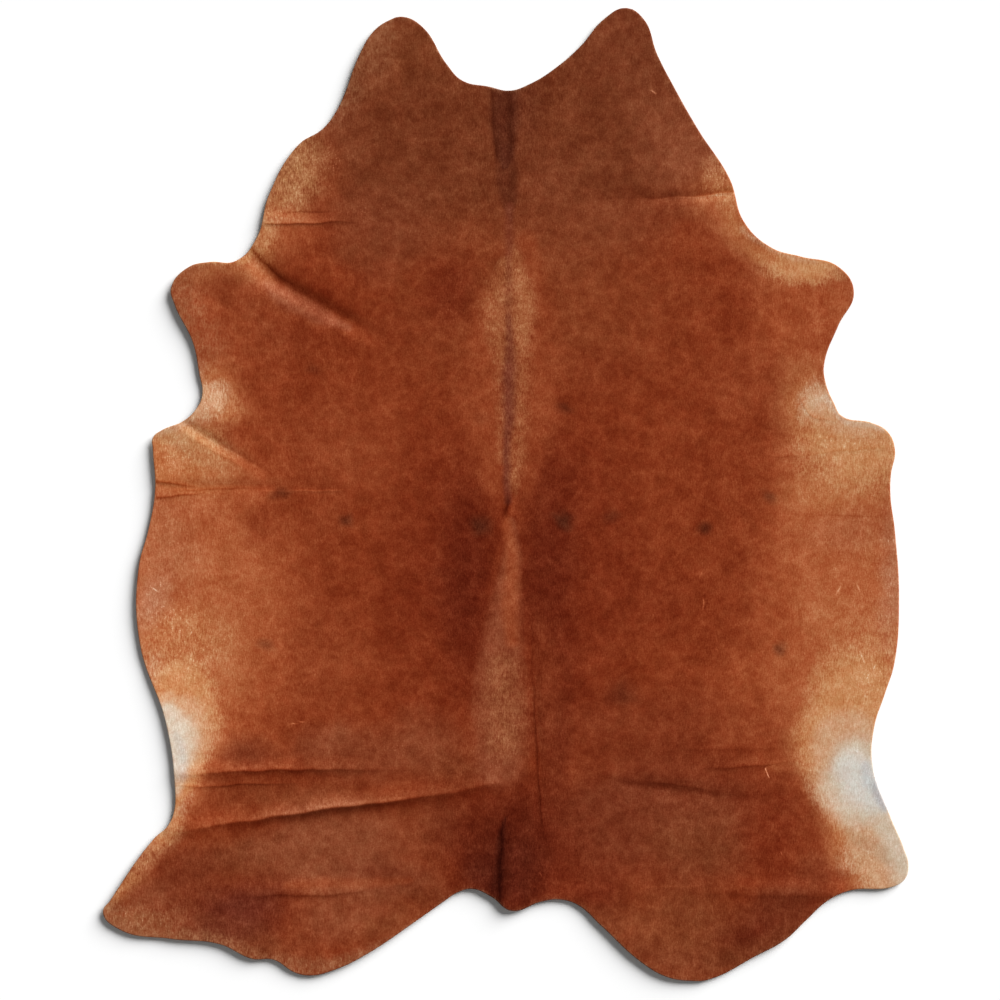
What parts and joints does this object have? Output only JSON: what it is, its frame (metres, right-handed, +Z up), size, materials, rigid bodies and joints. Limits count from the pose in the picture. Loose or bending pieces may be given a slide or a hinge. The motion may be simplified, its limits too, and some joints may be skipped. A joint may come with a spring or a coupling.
{
  "type": "cattle hide",
  "caption": "Whole hair-on cattle hide laid flat as a rug, with its neck, leg and tail outline and low packing folds.",
  "frame": {"origin": "on the surface that the hide lies on, under the middle of its outline", "axes": "+Y along the back towards the neck, +X to the hide's right as seen from above, +Z up out of the hair side"},
  "size_m": [1.8212, 2.2008, 0.0168],
  "materials": {
    "hair_on_leather": "short reddish-brown hair lying flat, softly mottled, satin"
  },
  "bodies": {
    "root": {"hide": "hair_on_leather"}
  },
  "joints": []
}
